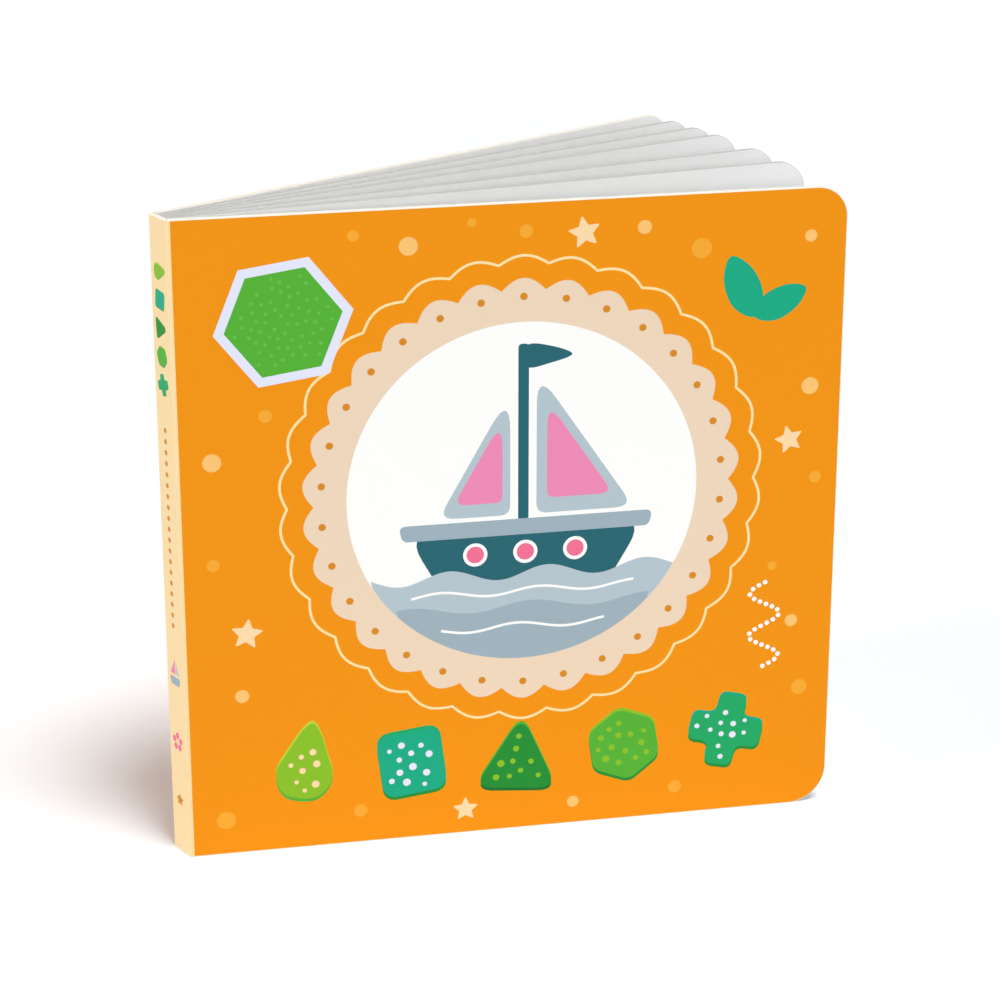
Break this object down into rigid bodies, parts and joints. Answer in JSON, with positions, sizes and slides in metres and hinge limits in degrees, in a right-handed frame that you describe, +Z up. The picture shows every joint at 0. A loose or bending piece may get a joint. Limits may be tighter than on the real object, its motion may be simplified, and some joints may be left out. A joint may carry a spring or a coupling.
{
  "type": "board book",
  "caption": "Square board book with rounded corners, standing upright with its thick leaves fanned; both covers swing on creases at the spine.",
  "frame": {"origin": "middle of the footprint's bounding box, on the surface that the book stands on", "axes": "+X along the front cover from the spine to its fore edge, +Y from the front cover's outside into the book, +Z up"},
  "size_m": [0.1536, 0.0794, 0.15],
  "materials": {
    "cover_board": "laminated, satin",
    "spine_board": "laminated, satin",
    "page_board": "laminated, satin"
  },
  "bodies": {
    "book_block": {"spine_panel": "spine_board", "page_block": "page_board"},
    "front_cover": {"front_cover": "cover_board"},
    "back_cover": {"back_cover": "cover_board"}
  },
  "joints": [
    {"name": "front_cover_crease", "type": "hinge", "parent": "book_block", "child": "front_cover", "pos_m": [-0.07387, -0.03962, 0], "axis": [0, 0, -1], "range_deg": [-8.7, 157]},
    {"name": "back_cover_crease", "type": "hinge", "parent": "book_block", "child": "back_cover", "pos_m": [-0.0768, -0.03253, 0], "axis": [0, 0, 1], "range_deg": [-2.8, 174.4]}
  ]
}
